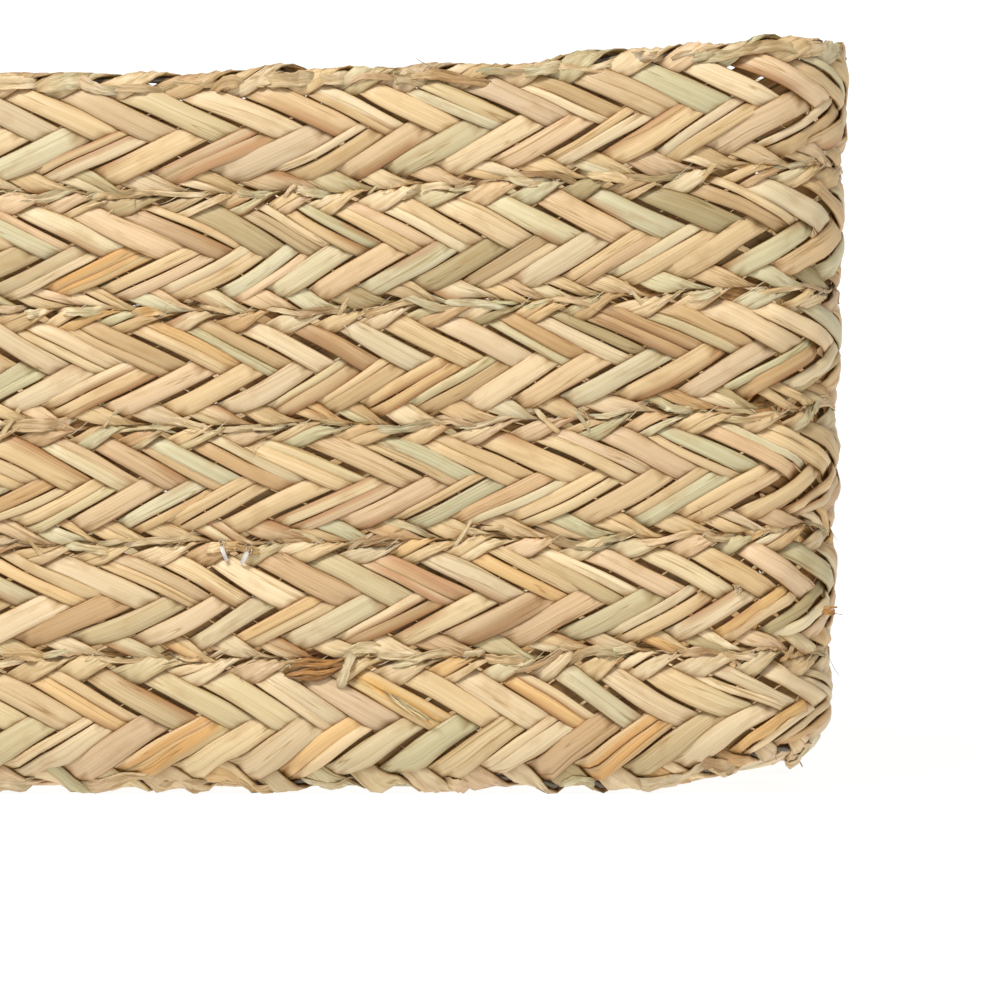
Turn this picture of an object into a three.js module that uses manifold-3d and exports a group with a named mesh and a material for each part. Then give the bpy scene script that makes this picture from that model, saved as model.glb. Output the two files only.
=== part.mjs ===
// Seagrass storage basket: an open rectangular bin made of flat nine-strand braid.
// Six closed courses of braid stand on edge, one on top of the other, round a base of nine
// straight strips laid side by side. Each seam is laced with a thin thread that runs between the
// folded edges of the braid, and two wire hoops, one at the rim and one round the foot, keep the
// plan rectangular. Millimetres, +Z up, origin on the floor under the middle of the basket.

import * as THREE from "three";
import { mergeVertices } from "three/addons/utils/BufferGeometryUtils.js";
import Module from "manifold-3d";

const wasm = await Module();
wasm.setup();

// Plan of the mouth, measured to the middle of the braid's thickness.
const HALF_LENGTH = 197.5;
const HALF_DEPTH = 147.5;
const CORNER_RADIUS = 27.5;

// Braid.
const COURSES = 6;
const FIRST_COURSE_WIDTH = 35.8; // the lowest course is plaited of wider leaves
const COURSE_PITCH = 32.05; // from seam to seam up the rest of the wall
const COURSE_GAP = 0.35; // clearance left in each seam
const CROWN_THICKNESS = 4.4; // at the middle of a course
const EDGE_THICKNESS = 3.2; // at its folded edges
const BULGE = 1.5; // how far the middle of a course stands proud of its seams
const NOTCH_DEPTH = 1.4; // groove in each edge that the lacing thread lies in

// Wall profile, on the middle of the braid's thickness.
const WALL_LEAN = THREE.MathUtils.degToRad(1.3); // the mouth is a little wider than the foot
const FOOT_RADIUS = 14; // round between the base and the wall
const BASE_THICKNESS = 4.4;
const FOOT_EDGE_AT = 8.15; // lower edge of the wall, along the profile from the flat of the base

// Hand-made shape: the long runs of wall slump, so the corners stand higher than the middles.
const SLUMP = 9.6; // at the rim
const SLUMP_FULL_AT = 0.86; // cornerness at which a point stands at its full height
const FOOT_LIFT = 11; // the four corners of the foot turn up off the floor
const FOOT_LIFT_HEIGHT = 32; // the lift dies out by this height
const FOOT_LIFT_FROM = 0.7; // where along the basket the lift starts,
const FOOT_LIFT_TO = 0.95; // where it is complete,
const FOOT_LIFT_SPREAD = 0.35; // and how far it spreads across the base's ends
const WALL_HEIGHT = 198.5;

// Base.
const BASE_STRIPS = 9;
const BASE_REACH = 6.2; // how far the strips run out into the foot's round
const STRIP_EDGE_ROUND = 0.6;
const STRIP_STEPS = 16;

// Lacing and hoops.
const THREAD_RADIUS = 0.4;
const THREAD_END_INSET = 7;
const WIRE_RADIUS = 0.8;
const WIRE_STAND_OFF = 0.2; // centre of a hoop beyond the edge of the braid
const ROUND_SIDES = 6;

// Steps round the plan.
const STEPS = { long: 4, short: 3, corner: 5 };

const seagrass = new THREE.MeshStandardMaterial({ color: "#d3b784", roughness: 0.62 });
const nylon = new THREE.MeshStandardMaterial({ color: "#e9e6dc", roughness: 0.25 });
const wire = new THREE.MeshStandardMaterial({ color: "#5a544c", roughness: 0.5, metalness: 1 });

const basket = new THREE.Group();

function add(name, geometry, material) {
  const mesh = new THREE.Mesh(geometry, material);
  mesh.name = name;
  basket.add(mesh);
}

// Where the profile is at a distance from the start of the foot's round: out from the rim's plan
// (negative is inside it), height, and the angle of its tangent above the floor.
const FOOT_ARC = FOOT_RADIUS * (Math.PI / 2 - WALL_LEAN);
const RIM_AT = FOOT_EDGE_AT + FIRST_COURSE_WIDTH + (COURSES - 1) * COURSE_PITCH;
const FOOT_START =
  -(RIM_AT - FOOT_ARC) * Math.sin(WALL_LEAN) - FOOT_RADIUS * Math.cos(WALL_LEAN);

function profile(along) {
  const turned = Math.min(along, FOOT_ARC) / FOOT_RADIUS;
  const straight = Math.max(0, along - FOOT_ARC);
  return {
    out: FOOT_START + FOOT_RADIUS * Math.sin(turned) + straight * Math.sin(WALL_LEAN),
    up: BASE_THICKNESS / 2 + FOOT_RADIUS * (1 - Math.cos(turned)) + straight * Math.cos(WALL_LEAN),
    tangent: turned,
  };
}

// A point of a wall section: a place along the profile, and a distance out of the braid's middle.
function sectionPoint(along, out) {
  const at = profile(along);
  return new THREE.Vector2(
    at.out + out * Math.sin(at.tangent),
    at.up - out * Math.cos(at.tangent),
  );
}

// Stations round a rounded rectangle, counter-clockwise from above, with their outward normals.
function planStations() {
  const stations = [];
  const quarter = (x, y, start) => {
    for (let i = 0; i < STEPS.corner; i++) {
      const angle = start + ((Math.PI / 2) * i) / STEPS.corner;
      const normal = new THREE.Vector2(Math.cos(angle), Math.sin(angle));
      stations.push({ at: new THREE.Vector2(x, y).addScaledVector(normal, CORNER_RADIUS), normal });
    }
  };
  const side = (x0, y0, x1, y1, normal, steps) => {
    const from = new THREE.Vector2(x0, y0);
    const to = new THREE.Vector2(x1, y1);
    for (let i = 0; i < steps; i++) {
      stations.push({ at: from.clone().lerp(to, i / steps), normal });
    }
  };
  const x = HALF_LENGTH - CORNER_RADIUS;
  const y = HALF_DEPTH - CORNER_RADIUS;
  quarter(x, y, 0);
  side(x, HALF_DEPTH, -x, HALF_DEPTH, new THREE.Vector2(0, 1), STEPS.long);
  quarter(-x, y, Math.PI / 2);
  side(-HALF_LENGTH, y, -HALF_LENGTH, -y, new THREE.Vector2(-1, 0), STEPS.short);
  quarter(-x, -y, Math.PI);
  side(-x, -HALF_DEPTH, x, -HALF_DEPTH, new THREE.Vector2(0, -1), STEPS.long);
  quarter(x, -y, (3 * Math.PI) / 2);
  side(HALF_LENGTH, -y, HALF_LENGTH, y, new THREE.Vector2(1, 0), STEPS.short);
  return stations;
}

// The slump of the long runs and the lift of the foot's corners, as a height to add.
function settle(x, y, z) {
  const shareX = Math.min(1, Math.abs(x) / HALF_LENGTH);
  const shareY = Math.min(1, Math.abs(y) / HALF_DEPTH);
  const standing = Math.min(1, (shareX * shareY) / SLUMP_FULL_AT) ** 2;
  const towardsEnd = shareX * shareY ** FOOT_LIFT_SPREAD;
  const foot = THREE.MathUtils.smoothstep(towardsEnd, FOOT_LIFT_FROM, FOOT_LIFT_TO);
  const lift = FOOT_LIFT * foot * Math.max(0, 1 - z / FOOT_LIFT_HEIGHT);
  return SLUMP * standing * (z / WALL_HEIGHT) + lift;
}

// How much the base dishes up at a point, past the flat, to meet the foot's round.
function dish(x, y) {
  const radius = CORNER_RADIUS + FOOT_START;
  const past = new THREE.Vector2(
    Math.abs(x) - (HALF_LENGTH - CORNER_RADIUS),
    Math.abs(y) - (HALF_DEPTH - CORNER_RADIUS),
  );
  const inside = Math.max(past.x, past.y) <= 0;
  const outside = past.clampScalar(0, HALF_LENGTH).length();
  const out = inside ? 0 : Math.max(0, outside - radius);
  return FOOT_RADIUS - Math.sqrt(FOOT_RADIUS ** 2 - out ** 2);
}

// Sweeps a closed section, counter-clockwise as (out, up), round the plan into a closed ring.
function ring(section) {
  const stations = planStations();
  const positions = [];
  for (const { at, normal } of stations) {
    for (const point of section) {
      const x = at.x + normal.x * point.x;
      const y = at.y + normal.y * point.x;
      positions.push(x, y, point.y + settle(x, y, point.y));
    }
  }
  const index = [];
  const count = section.length;
  stations.forEach((_, i) => {
    const here = i * count;
    const next = ((i + 1) % stations.length) * count;
    for (let j = 0; j < count; j++) {
      const k = (j + 1) % count;
      index.push(here + j, next + j, next + k, here + j, next + k, here + k);
    }
  });
  const geometry = new THREE.BufferGeometry();
  geometry.setAttribute("position", new THREE.Float32BufferAttribute(positions, 3));
  geometry.setIndex(index);
  geometry.computeVertexNormals();
  return geometry;
}

// One course of braid: crowned, bowed outwards, with a groove in each folded edge.
function courseSection(lower, upper) {
  const middle = (lower + upper) / 2;
  const half = (upper - lower - COURSE_GAP) / 2;
  const places = [-half, -half / 2, 0, half / 2, half];
  const skin = (place, side) => {
    const share = 1 - (place / half) ** 2;
    const thickness = EDGE_THICKNESS + (CROWN_THICKNESS - EDGE_THICKNESS) * share;
    return sectionPoint(middle + place, BULGE * share + (side * thickness) / 2);
  };
  const outer = places.map((place) => skin(place, 1));
  const inner = places.map((place) => skin(place, -1)).reverse();
  const topNotch = sectionPoint(middle + half - NOTCH_DEPTH, 0);
  const bottomNotch = sectionPoint(middle - half + NOTCH_DEPTH, 0);
  return [...outer, topNotch, ...inner, bottomNotch];
}

// A round thread or wire that runs round the wall at a place along the profile.
function hoopSection(along, radius) {
  const at = sectionPoint(along, 0);
  return Array.from({ length: ROUND_SIDES }, (_, i) => {
    const angle = (2 * Math.PI * (i + 0.5)) / ROUND_SIDES;
    return new THREE.Vector2(at.x + radius * Math.cos(angle), at.y + radius * Math.sin(angle));
  });
}

function solidOf(geometry) {
  const bare = new THREE.BufferGeometry();
  bare.setAttribute("position", geometry.getAttribute("position"));
  if (geometry.index) bare.setIndex(geometry.index);
  const merged = mergeVertices(bare, 1e-3);
  return new wasm.Manifold(
    new wasm.Mesh({
      numProp: 3,
      vertProperties: merged.getAttribute("position").array,
      triVerts: new Uint32Array(merged.index.array),
    }),
  );
}

function geometryOf(solid) {
  const mesh = solid.getMesh();
  const geometry = new THREE.BufferGeometry();
  geometry.setAttribute("position", new THREE.BufferAttribute(mesh.vertProperties, 3));
  geometry.setIndex(new THREE.BufferAttribute(mesh.triVerts, 1));
  geometry.computeVertexNormals();
  return geometry;
}

// The outline that the base strips are trimmed to, a little inside the first course.
const BASE_INSET = FOOT_START + BASE_REACH;
const BASE_HALF_LENGTH = HALF_LENGTH + BASE_INSET;
const BASE_HALF_DEPTH = HALF_DEPTH + BASE_INSET;
const STRIP_PITCH = (2 * BASE_HALF_DEPTH) / BASE_STRIPS;

function baseOutline() {
  const radius = CORNER_RADIUS + BASE_INSET;
  const x = BASE_HALF_LENGTH;
  const y = BASE_HALF_DEPTH;
  const outline = new THREE.Shape();
  outline.moveTo(x - radius, -y);
  outline.absarc(x - radius, -y + radius, radius, -Math.PI / 2, 0);
  outline.absarc(x - radius, y - radius, radius, 0, Math.PI / 2);
  outline.absarc(-x + radius, y - radius, radius, Math.PI / 2, Math.PI);
  outline.absarc(-x + radius, -y + radius, radius, Math.PI, 1.5 * Math.PI);
  return solidOf(
    new THREE.ExtrudeGeometry(outline, {
      depth: BASE_THICKNESS + 2 * FOOT_RADIUS,
      bevelEnabled: false,
      curveSegments: STEPS.corner,
    }).translate(0, 0, -FOOT_RADIUS),
  );
}

// A length of something along the base, with its section in Y and Z, dished and lifted with it.
// Its steps are closest together at the ends, where it bends.
function alongBase(points, length, y) {
  const shape = new THREE.Shape(points.map(([across, up]) => new THREE.Vector2(across, up)));
  const options = { depth: length, steps: STRIP_STEPS, bevelEnabled: false };
  const geometry = new THREE.ExtrudeGeometry(shape, options)
    .rotateX(Math.PI / 2)
    .rotateZ(Math.PI / 2)
    .translate(-length / 2, y, 0);
  const position = geometry.getAttribute("position");
  for (let i = 0; i < position.count; i++) {
    const share = position.getX(i) / (length / 2);
    const x = (length / 2) * Math.sin((Math.PI / 2) * share);
    const z = position.getZ(i) + dish(x, position.getY(i));
    position.setXYZ(i, x, position.getY(i), z + settle(x, position.getY(i), z));
  }
  return geometry;
}

function stripSection() {
  const half = (STRIP_PITCH - COURSE_GAP) / 2;
  const top = BASE_THICKNESS;
  const r = STRIP_EDGE_ROUND;
  const bend = half - BASE_REACH;
  const bottom = [-bend, 0, bend].map((across) => [across, 0]);
  const right = [
    [half - r, 0],
    [half, r],
    [half - NOTCH_DEPTH, top / 2],
    [half, top - r],
    [half - r, top],
  ];
  const over = [bend, 0, -bend].map((across) => [across, top]);
  const left = right.map(([across, up]) => [-across, up]).reverse();
  return [...bottom, ...right, ...over, ...left];
}

function threadSection() {
  return Array.from({ length: ROUND_SIDES }, (_, i) => {
    const angle = (2 * Math.PI * i) / ROUND_SIDES;
    return [THREAD_RADIUS * Math.cos(angle), BASE_THICKNESS / 2 + THREAD_RADIUS * Math.sin(angle)];
  });
}

function buildWall() {
  let lower = FOOT_EDGE_AT;
  for (let course = 1; course <= COURSES; course++) {
    const upper = lower + (course === 1 ? FIRST_COURSE_WIDTH : COURSE_PITCH);
    add(`wall_course_${course}`, ring(courseSection(lower, upper)), seagrass);
    if (course < COURSES) {
      add(`wall_seam_thread_${course}`, ring(hoopSection(upper, THREAD_RADIUS)), nylon);
    }
    lower = upper;
  }
}

function buildHoops() {
  const beyond = WIRE_STAND_OFF - COURSE_GAP / 2;
  add("rim_wire_hoop", ring(hoopSection(RIM_AT + beyond, WIRE_RADIUS)), wire);
  add("base_wire_hoop", ring(hoopSection(FOOT_EDGE_AT - beyond, WIRE_RADIUS)), wire);
}

function buildBase() {
  const outline = baseOutline();
  const length = 2 * BASE_HALF_LENGTH + 2;
  for (let strip = 1; strip <= BASE_STRIPS; strip++) {
    const y = -BASE_HALF_DEPTH + (strip - 0.5) * STRIP_PITCH;
    const whole = solidOf(alongBase(stripSection(), length, y));
    add(`base_strip_${strip}`, geometryOf(whole.intersect(outline)), seagrass);
    if (strip < BASE_STRIPS) {
      const threadLength = 2 * (BASE_HALF_LENGTH - THREAD_END_INSET);
      const seam = alongBase(threadSection(), threadLength, y + STRIP_PITCH / 2);
      add(`base_seam_thread_${strip}`, seam, nylon);
    }
  }
}

buildWall();
buildHoops();
buildBase();

export default basket;
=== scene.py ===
# Seagrass storage basket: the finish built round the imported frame, in metres, in the frame's axes.
# The order follows the making: plait the courses of the wall and the strips of the base, with the
# crushed, torn and loose leaves on them, lace the seams, and close the wire hoops in the folds. The
# studio comes last.

import math

import bmesh
import bpy
import numpy as np
from mathutils import Euler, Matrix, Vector


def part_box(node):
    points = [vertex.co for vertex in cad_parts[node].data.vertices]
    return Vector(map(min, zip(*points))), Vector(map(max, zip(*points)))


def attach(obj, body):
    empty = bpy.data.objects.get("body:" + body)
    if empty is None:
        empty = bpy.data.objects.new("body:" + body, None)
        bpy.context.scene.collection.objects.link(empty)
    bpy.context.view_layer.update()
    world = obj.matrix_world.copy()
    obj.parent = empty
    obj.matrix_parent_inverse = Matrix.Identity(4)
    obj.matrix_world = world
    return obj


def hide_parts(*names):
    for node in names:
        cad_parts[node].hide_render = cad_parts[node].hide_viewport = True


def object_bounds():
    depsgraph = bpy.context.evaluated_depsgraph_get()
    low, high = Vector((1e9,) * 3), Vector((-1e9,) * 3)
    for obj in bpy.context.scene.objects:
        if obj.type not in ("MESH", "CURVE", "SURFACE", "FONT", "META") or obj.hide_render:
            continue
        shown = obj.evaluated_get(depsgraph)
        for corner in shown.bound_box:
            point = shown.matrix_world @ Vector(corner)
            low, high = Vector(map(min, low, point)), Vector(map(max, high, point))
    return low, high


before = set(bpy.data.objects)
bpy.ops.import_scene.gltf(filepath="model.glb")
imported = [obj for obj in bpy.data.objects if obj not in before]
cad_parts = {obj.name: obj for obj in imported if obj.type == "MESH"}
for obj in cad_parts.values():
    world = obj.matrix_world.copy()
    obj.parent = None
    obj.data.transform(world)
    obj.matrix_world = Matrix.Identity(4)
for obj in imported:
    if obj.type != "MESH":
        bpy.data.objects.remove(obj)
cad_low, cad_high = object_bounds()

# ---------------------------------------------------------------------------------------------
# Wall courses. Each is a flat braid of nine dried seagrass leaves, plaited by hand: every leaf
# goes under one, over three, under three and over one, and folds to the back at both edges. The
# braid stands on edge, bowed outwards a little, and six courses make the wall.
# ---------------------------------------------------------------------------------------------
MM = 0.001
COURSES = 6
STRANDS = 9
FIRST_COURSE_WIDTH = 35.8 * MM  # the lowest course is plaited of wider leaves
COURSE_PITCH = 32.05 * MM
BOW = 1.5 * MM  # how far the middle of a course stands proud of its seams
CROWN_HALF_THICKNESS = 2.2 * MM
LEAN = math.radians(1.3)
FOOT_RADIUS = 14 * MM  # round between base and wall
BASE_MIDDLE = 2.2 * MM  # height of the middle of the base's thickness
FOOT_EDGE_AT = 8.15 * MM  # lower edge of the wall, along the profile from the flat of the base
FOOT_ARC = FOOT_RADIUS * (math.pi / 2 - LEAN)
RIM_AT = FOOT_EDGE_AT + FIRST_COURSE_WIDTH + (COURSES - 1) * COURSE_PITCH
FOOT_START = -(RIM_AT - FOOT_ARC) * math.sin(LEAN) - FOOT_RADIUS * math.cos(LEAN)
WALL_HEIGHT = 198.5 * MM
SLUMP = 9.6 * MM  # the middles of the rim's runs have sunk this far below its corners
SLUMP_FULL_AT = 0.86  # past this share of the way into a corner the wall keeps its full height
SLUMP_CURVE = 2
FOOT_LIFT = 11 * MM  # the foot turns up off the floor by this much at its corners
FOOT_LIFT_HEIGHT = 32 * MM  # and the wall above goes with it, less and less, up to here
FOOT_LIFT_FROM, FOOT_LIFT_TO = 0.7, 0.95  # shares of the way into a corner
FOOT_LIFT_SPREAD = 0.35  # below 1, so the lift reaches further along the ends than the front
ABOVE_FLOOR = 0.05 * MM  # the lowest that any leaf goes

# The plan of the mouth, on the middle of the braid's thickness, is worked back from the frame's
# outside: the top course's crown stands out of it by its bow and half its thickness.
CROWN_STANDS_OUT = BOW + CROWN_HALF_THICKNESS - COURSE_PITCH / 2 * math.sin(LEAN)
HALF_LENGTH = (cad_high.x - cad_low.x) / 2 - CROWN_STANDS_OUT
HALF_DEPTH = (cad_high.y - cad_low.y) / 2 - CROWN_STANDS_OUT
CORNER_RADIUS = 27.5 * MM
CORNER_X = HALF_LENGTH - CORNER_RADIUS
CORNER_Y = HALF_DEPTH - CORNER_RADIUS
CORNER_ARC = CORNER_RADIUS * math.pi / 2
PERIMETER = 4 * (CORNER_X + CORNER_Y + CORNER_ARC)

STRANDS_ROUND = 90  # leaf spacings in one circuit, ten full zigzags of each strand
SPACING = PERIMETER / STRANDS_ROUND
LEG = STRANDS / 2 * SPACING  # length of band that one leg of a zigzag covers


def smooth(low, high, value):
    t = np.clip((value - low) / (high - low), 0, 1)
    return t * t * (3 - 2 * t)


def plan(u):
    """The point and outward normal at a distance round the plan, anticlockwise from above."""
    runs = np.array([0, 2 * CORNER_X, 2 * CORNER_Y, 2 * CORNER_X])
    starts = np.cumsum(runs + np.array([0, 1, 1, 1]) * CORNER_ARC)
    u = np.mod(u, PERIMETER)
    quarter = np.searchsorted(starts, u, side="right") - 1
    local = u - starts[quarter]
    angle = quarter * math.pi / 2 + np.minimum(local, CORNER_ARC) / CORNER_RADIUS
    straight = np.maximum(0, local - CORNER_ARC)
    across, up = np.cos(angle), np.sin(angle)
    side_x = np.array([1, -1, -1, 1])[quarter]
    side_y = np.array([1, 1, -1, -1])[quarter]
    x = side_x * CORNER_X + CORNER_RADIUS * across - straight * up
    y = side_y * CORNER_Y + CORNER_RADIUS * up + straight * across
    return x, y, across, up


def cornerness(x, y):
    """How far into a corner a point is: 0 on either middle line of the basket, 1 at its outside."""
    return np.minimum(1, np.abs(x) / HALF_LENGTH) * np.minimum(1, np.abs(y) / HALF_DEPTH)


def settled(x, y, z):
    """The height of a point after the long runs have slumped and the foot's corners have lifted."""
    share_x = np.minimum(1, np.abs(x) / HALF_LENGTH)
    share_y = np.minimum(1, np.abs(y) / HALF_DEPTH)
    standing = np.minimum(1, share_x * share_y / SLUMP_FULL_AT) ** SLUMP_CURVE
    foot = smooth(FOOT_LIFT_FROM, FOOT_LIFT_TO, share_x * share_y**FOOT_LIFT_SPREAD)
    lift = FOOT_LIFT * foot * np.maximum(0, 1 - z / FOOT_LIFT_HEIGHT)
    return np.maximum(ABOVE_FLOOR, z + SLUMP * standing * z / WALL_HEIGHT + lift)


WIRE_WRAP = 1.3 * MM  # the rim's and the foot's folds reach this much further, round the wire
WIRE_SPREAD = 0.42  # and their two sides stand apart by this share more
WIRE_WRAP_FROM = 0.75  # share of a course's half width, past which they do so
SEAM_STRAY = 0.36 * MM
SEAM_WAVES = (9, 17, 29, 47, 71)  # waves to a circuit, which add up to an uneven line
FOOT_HANG = 1.5 * MM  # the foot's folds hang to the floor, some of them lower than others
FOOT_HANG_UNEVEN = 0.42
FOOT_HANG_FROM, FOOT_HANG_FULL = 0.3, 0.95  # shares of the lowest course's half width
FOOT_WAVES = (31, 53, 83, 109)
PULL = 0.055  # the share by which the braid is stretched here and bunched up there
PULL_WAVES = (3, 7, 12, 19, 27)


def seam_wave(seam, u):
    """A seam's own unevenness: how far it strays up the wall, the same for both its courses."""
    rng = np.random.default_rng(300 + seam)
    total = np.zeros_like(u)
    for turns in SEAM_WAVES:
        total += np.sin(2 * math.pi * (turns * u / PERIMETER + rng.uniform()))
    return SEAM_STRAY * total


def hanging(u):
    """How far the foot's folds hang down: it changes from one fold to the next."""
    rng = np.random.default_rng(320)
    total = np.zeros_like(u)
    for turns in FOOT_WAVES:
        total += np.sin(2 * math.pi * (turns * u / PERIMETER + rng.uniform()))
    return FOOT_HANG * (1 + FOOT_HANG_UNEVEN * total)


def pulled(course, u):
    """Where the braid's points go along it: it was pulled tighter in some places than in others."""
    rng = np.random.default_rng(330 + course)
    shift = np.zeros_like(u)
    for turns in PULL_WAVES:
        wave = 2 * math.pi * turns / PERIMETER
        shift += PULL / wave * np.sin(wave * u + rng.uniform(0, 2 * math.pi))
    return u + shift


def wall_place(course):
    """The map from a course's own band (round it, up it, out of it) to the wall."""
    width = FIRST_COURSE_WIDTH if course == 1 else COURSE_PITCH
    lower = FOOT_EDGE_AT if course == 1 else RIM_AT - (COURSES + 1 - course) * COURSE_PITCH
    middle = lower + width / 2
    wire_below = course == 1
    wire_above = course == COURSES

    def place(u, v, out):
        u = pulled(course, u)
        share = v / (COURSE_PITCH / 2)
        stray = np.where(share > 0, seam_wave(course, u), seam_wave(course - 1, u))
        along = middle + share * width / 2 + stray * share**2
        wraps_wire = smooth(WIRE_WRAP_FROM, 1, np.abs(share))
        wraps_wire = wraps_wire * np.where(share > 0, wire_above, wire_below)
        along = along + WIRE_WRAP * np.sign(share) * wraps_wire
        out = out * (1 + WIRE_SPREAD * wraps_wire)
        turned = np.minimum(along, FOOT_ARC) / FOOT_RADIUS
        straight = np.maximum(0, along - FOOT_ARC)
        out = out + BOW * (1 - np.minimum(1, share**2))
        away = FOOT_START + FOOT_RADIUS * np.sin(turned) + straight * math.sin(LEAN)
        away = away + out * np.sin(turned)
        z = BASE_MIDDLE + FOOT_RADIUS * (1 - np.cos(turned)) + straight * math.cos(LEAN)
        z = z - out * np.cos(turned)
        z = z - hanging(u) * wire_below * smooth(FOOT_HANG_FROM, FOOT_HANG_FULL, -share)
        x, y, normal_x, normal_y = plan(u)
        x, y = x + normal_x * away, y + normal_y * away
        return np.stack([x, y, settled(x, y, z)], axis=-1)

    return place


# A leaf, and how it lies in the braid.
LEAF_THICKNESS = 0.9 * MM
LAYER = 1.12 * MM  # a leaf's middle is this far in front of, or behind, the middle of the braid
CROWN = 0.42 * MM  # a leaf's edges curl back by this much
ARCH = 0.28 * MM  # a float of three stands this much higher in its middle
KEEL = 0.16 * MM  # many leaves keep a lengthwise crease off their middle
BAND_HALF_WIDTH = 16.35 * MM  # to the fold lines, before the leaves wrap round
FLATTER_AT_EDGE = 0.08  # leaves cross the band's edges less steeply than its middle
FILL = 0.965  # leaf width over the room between its neighbours
LEAF_WIDTHS = (0.86, 1.1)  # the narrowest and the widest leaf, over the usual one
WIDTH_DRIFT = 0.07
TIGHTER_BEHIND = 0.12  # the back is plaited closer than the front, by this share of the width
THINNER_AT_CORNER = 0.08
SIDE_DRIFT = 0.42 * MM  # a leaf strays this far to either side of its line
ROLL = 0.075  # and lies this far over on one side, as a slope
LAYER_DRIFT = 0.1
TWIN_SHARE = 0.4  # how many strands are made up of two thinner leaves
TWIN_SPLITS = (0.3, 0.7)
TWIN_LAP = 0.04
FOLD_PINCH = 0.26  # share of its width that a leaf loses where it folds
FOLD_PINCH_DRIFT = 0.5
FOLD_REACH = 0.085  # share of a leg over which a fold's creases die out
FOLD_RAGGED = 0.055
PLEAT = 0.32 * MM
PLEATS_ACROSS = (2.6, 5.3)  # coarse and fine, in half waves to half a leaf's width
CALM_FROM, CALM_TO = 0.5 * MM, 3.5 * MM  # past a fold a leaf takes on its curled section again

# Leaves that were bent round the basket's corners lie less evenly.
CORNER_FROM, CORNER_TO = 0.8, 0.9
CORNER_KINK = 0.75 * MM
CORNER_DRIFT, CORNER_LAYER, CORNER_ROLL = 1.5, 0.2, 1.2  # shares added to the usual amounts

LEGS_PER_LEAF = (5, 10)
SPLICE_AT = 0.56  # leaves are joined where they pass behind three others
SPLICE_LAP = 0.2
SPLICE_STEP = 0.42 * MM  # at a join one leaf lies this far over the other's end
CROSSING_EASE = 0.34  # how gently a leaf goes from the front to the back, in leaves crossed
SIDES = 12
STEPS_PER_LEG = 24
SOLVING_STEPS = 6


def eased(p):
    """Share of the band's width crossed after a share of a leg."""
    return p - FLATTER_AT_EDGE / (2 * math.pi) * np.sin(2 * math.pi * p)


def steepness(p):
    return 1 - FLATTER_AT_EDGE * np.cos(2 * math.pi * p)


def uneased(crossed):
    """Share of a leg after which a share of the band's width is crossed."""
    p = crossed
    for _ in range(SOLVING_STEPS):
        p = crossed + (p - eased(p))
    return p


def wander(rng, tau, size, waves=5):
    """A smooth random drift along a leaf."""
    total = np.zeros_like(tau)
    for wave in range(1, waves + 1):
        rate = rng.uniform(0.25, 0.6) * wave
        total += np.sin(2 * math.pi * (rate * tau + rng.uniform())) / wave**0.7
    return size * total * 0.6


def kinks(rng, tau, size):
    """A random zigzag along a leaf, for where it was bent sharply."""
    total = np.zeros_like(tau)
    for rate in (2.3, 3.7, 6.1):
        total += np.abs(2 * np.mod(rate * tau + rng.uniform(), 1) - 1) - 0.5
    return size * total


def over_under(kappa):
    """+1 where a leaf lies in front and -1 behind, from how many leaves it has crossed."""
    rise, fall, again = (
        smooth(crossed - CROSSING_EASE, crossed + CROSSING_EASE, kappa)
        for crossed in (1.5, 4.5, 7.5)
    )
    return 2 * (rise - fall + again) - 1


def leaf_section():
    """A flattened leaf, as shares of its half width and half thickness, closed."""
    turn = math.pi - 2 * math.pi * np.arange(SIDES + 1) / SIDES
    across = np.sign(np.cos(turn)) * np.abs(np.cos(turn)) ** 0.75
    through = np.sign(np.sin(turn)) * np.abs(np.sin(turn)) ** 0.35
    return across[:, None], through[:, None]


# Painted light on a leaf, from the middle of its thickness (0) out to its face (1): painted shade
# darkens its side edges. A face is painted in full light in front, and in painted shade behind,
# where the leaves in front cover it.
THROUGH_LEAF = [0, 0.8, 0.95]
LIGHT_THERE = [0.3, 0.78, 1]
COVERED_BELOW, OPEN_ABOVE = -0.5, 0.15


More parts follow.
